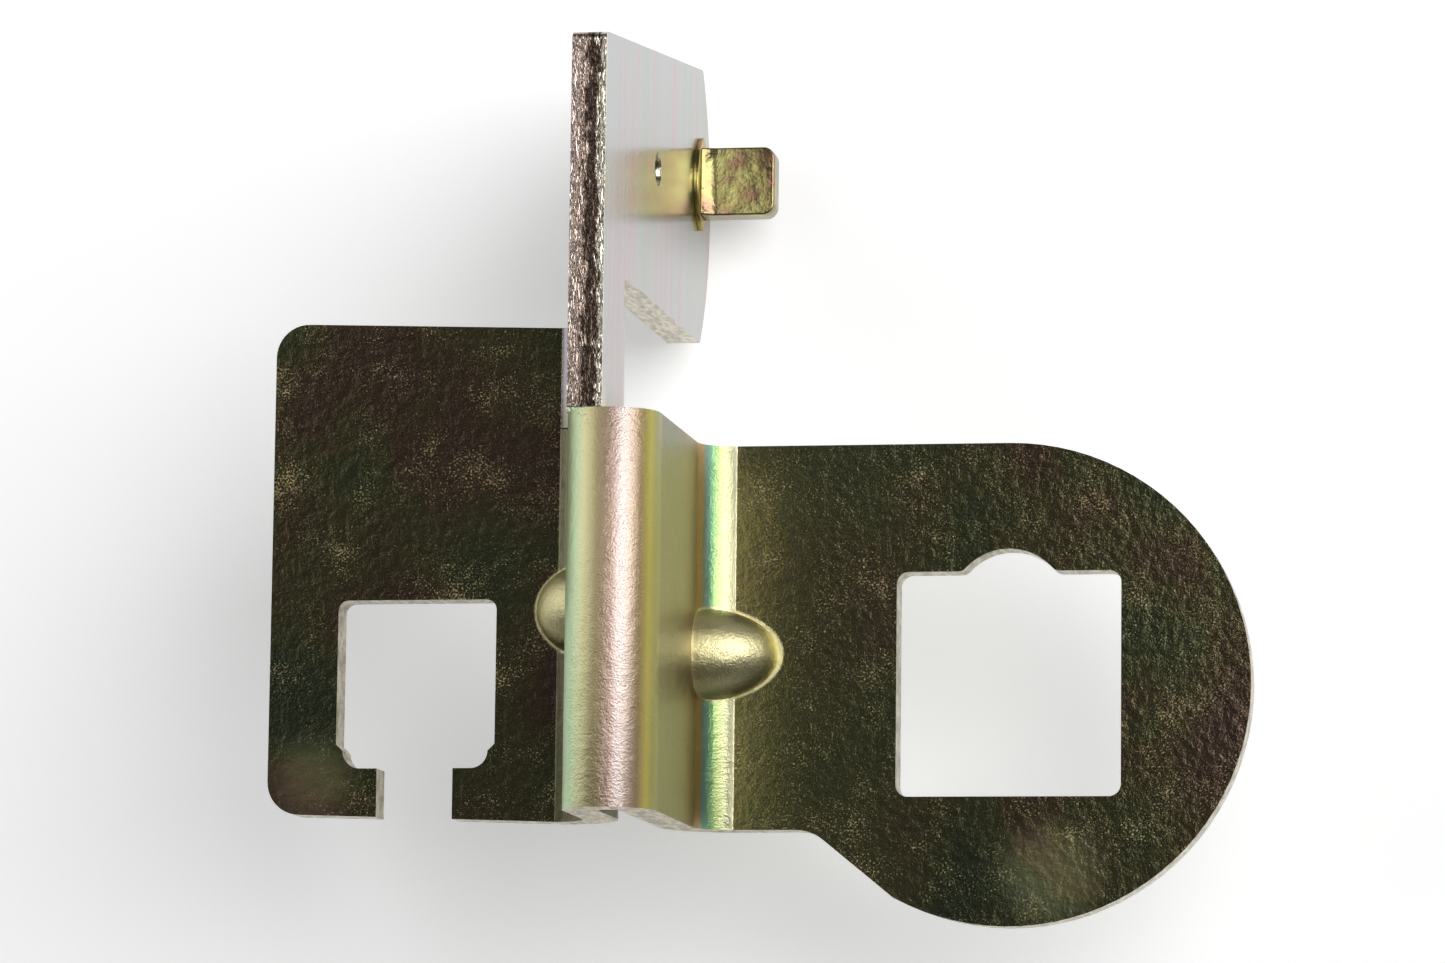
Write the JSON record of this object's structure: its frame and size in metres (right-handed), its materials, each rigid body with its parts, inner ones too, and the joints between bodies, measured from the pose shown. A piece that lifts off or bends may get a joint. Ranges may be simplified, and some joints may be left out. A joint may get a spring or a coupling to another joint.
{
  "type": "bent lock lever",
  "caption": "Bent sheet-steel lock lever with a T-slot plate, a folded rib, a side ear with a small blade peg, and a round-ended plate with a square hole.",
  "frame": {"origin": "centre of the square hole on the front face of the round-ended plate", "axes": "+X along the round-ended plate away from the fold, +Y along the fold towards the ear, +Z out of the plate's front face"},
  "size_m": [0.056, 0.0536, 0.0355],
  "materials": {
    "yellow_zinc_sheet": "bright yellow zinc chromate over pressed steel, iridescent on the bends",
    "yellow_zinc_peg": "olive gold zinc chromate",
    "yellow_zinc_collar": "brown gold zinc chromate"
  },
  "bodies": {
    "root": {"lever_plate": "yellow_zinc_sheet", "spring_peg": "yellow_zinc_peg", "peg_collar": "yellow_zinc_collar"}
  },
  "joints": []
}
